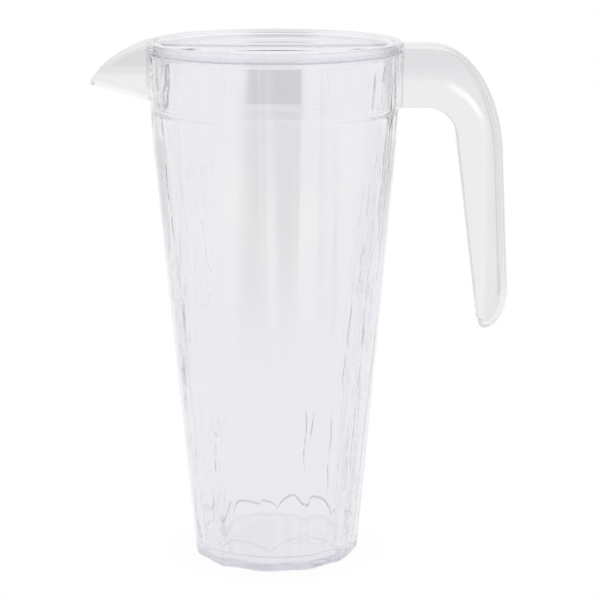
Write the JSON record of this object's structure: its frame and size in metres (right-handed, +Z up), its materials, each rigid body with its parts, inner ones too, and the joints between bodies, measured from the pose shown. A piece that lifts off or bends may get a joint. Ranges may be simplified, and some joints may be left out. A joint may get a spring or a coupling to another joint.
{
  "type": "lidded pitcher",
  "caption": "Tall tapered clear pitcher with uneven facets, a trough spout, a hooked channel handle and an inset lid that turns and lifts out.",
  "frame": {"origin": "centre of the flat base, on the surface the pitcher stands on", "axes": "+Z up along the vessel's axis, +X towards the handle, -X towards the spout"},
  "size_m": [0.195, 0.119, 0.245],
  "materials": {
    "tinted_clear": "clear, faintly blue-violet, polished",
    "plain_clear": "clear, colourless, polished",
    "soft_clear": "soft, translucent, satin"
  },
  "bodies": {
    "jug": {"vessel": "tinted_clear", "spout": "plain_clear", "handle": "plain_clear"},
    "ring": {"lid_seal": "soft_clear"},
    "cover": {"lid": "plain_clear"}
  },
  "joints": [
    {"name": "lid_lift", "type": "slide", "parent": "jug", "child": "ring", "axis": [0, 0, 1], "range_m": [0, 0.04]},
    {"name": "lid_turn", "type": "hinge", "parent": "ring", "child": "cover", "pos_m": [0, 0, 0.245], "axis": [0, 0, 1], "continuous": true}
  ]
}
